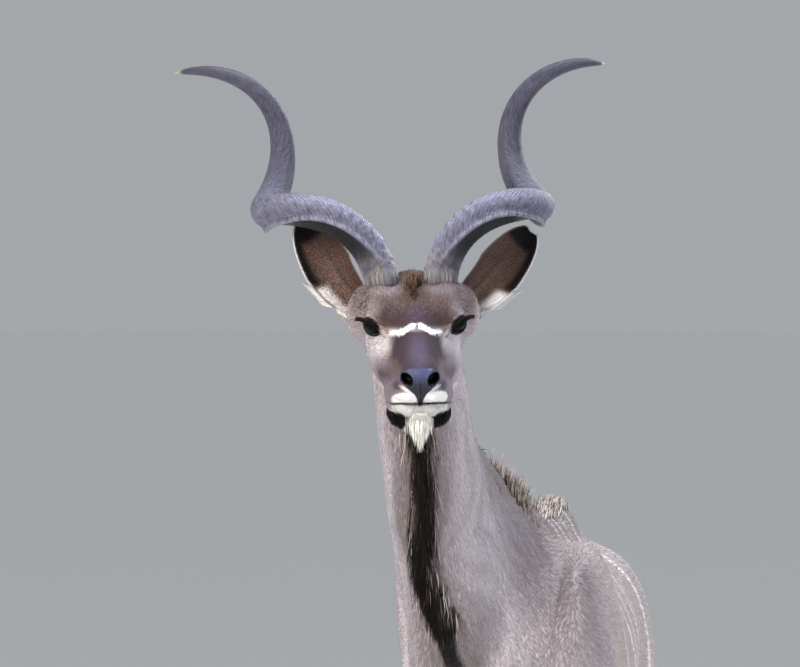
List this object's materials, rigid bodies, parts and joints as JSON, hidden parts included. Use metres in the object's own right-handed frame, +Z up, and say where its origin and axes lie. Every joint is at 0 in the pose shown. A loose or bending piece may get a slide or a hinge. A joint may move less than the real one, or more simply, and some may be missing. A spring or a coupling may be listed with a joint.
{
  "type": "greater kudu model",
  "caption": "Life-size still model of a standing greater kudu bull with spiral horns, its head turned to the viewer.",
  "frame": {"origin": "on the floor, under the middle of the model's box", "axes": "+Z up, -Y the way the body faces, +X the animal's left"},
  "size_m": [0.8072, 1.8544, 2.0525],
  "materials": {
    "coat": "short matt hair",
    "horn": "satin keratin",
    "eye": "wet gloss",
    "hoof": "satin keratin"
  },
  "bodies": {
    "root": {"torso": "coat", "neck": "coat", "head": "coat", "tail": "coat", "ear_left": "coat", "eye_left": "eye", "horn_left": "horn", "ear_right": "coat", "eye_right": "eye", "horn_right": "horn", "leg_fore_left": "coat", "hoof_fore_left_a": "hoof", "dewclaw_fore_left_a": "hoof", "hoof_fore_left_b": "hoof", "dewclaw_fore_left_b": "hoof", "leg_fore_right": "coat", "hoof_fore_right_a": "hoof", "dewclaw_fore_right_a": "hoof", "hoof_fore_right_b": "hoof", "dewclaw_fore_right_b": "hoof", "leg_hind_left": "coat", "hoof_hind_left_a": "hoof", "dewclaw_hind_left_a": "hoof", "hoof_hind_left_b": "hoof", "dewclaw_hind_left_b": "hoof", "leg_hind_right": "coat", "hoof_hind_right_a": "hoof", "dewclaw_hind_right_a": "hoof", "hoof_hind_right_b": "hoof", "dewclaw_hind_right_b": "hoof"}
  },
  "joints": []
}
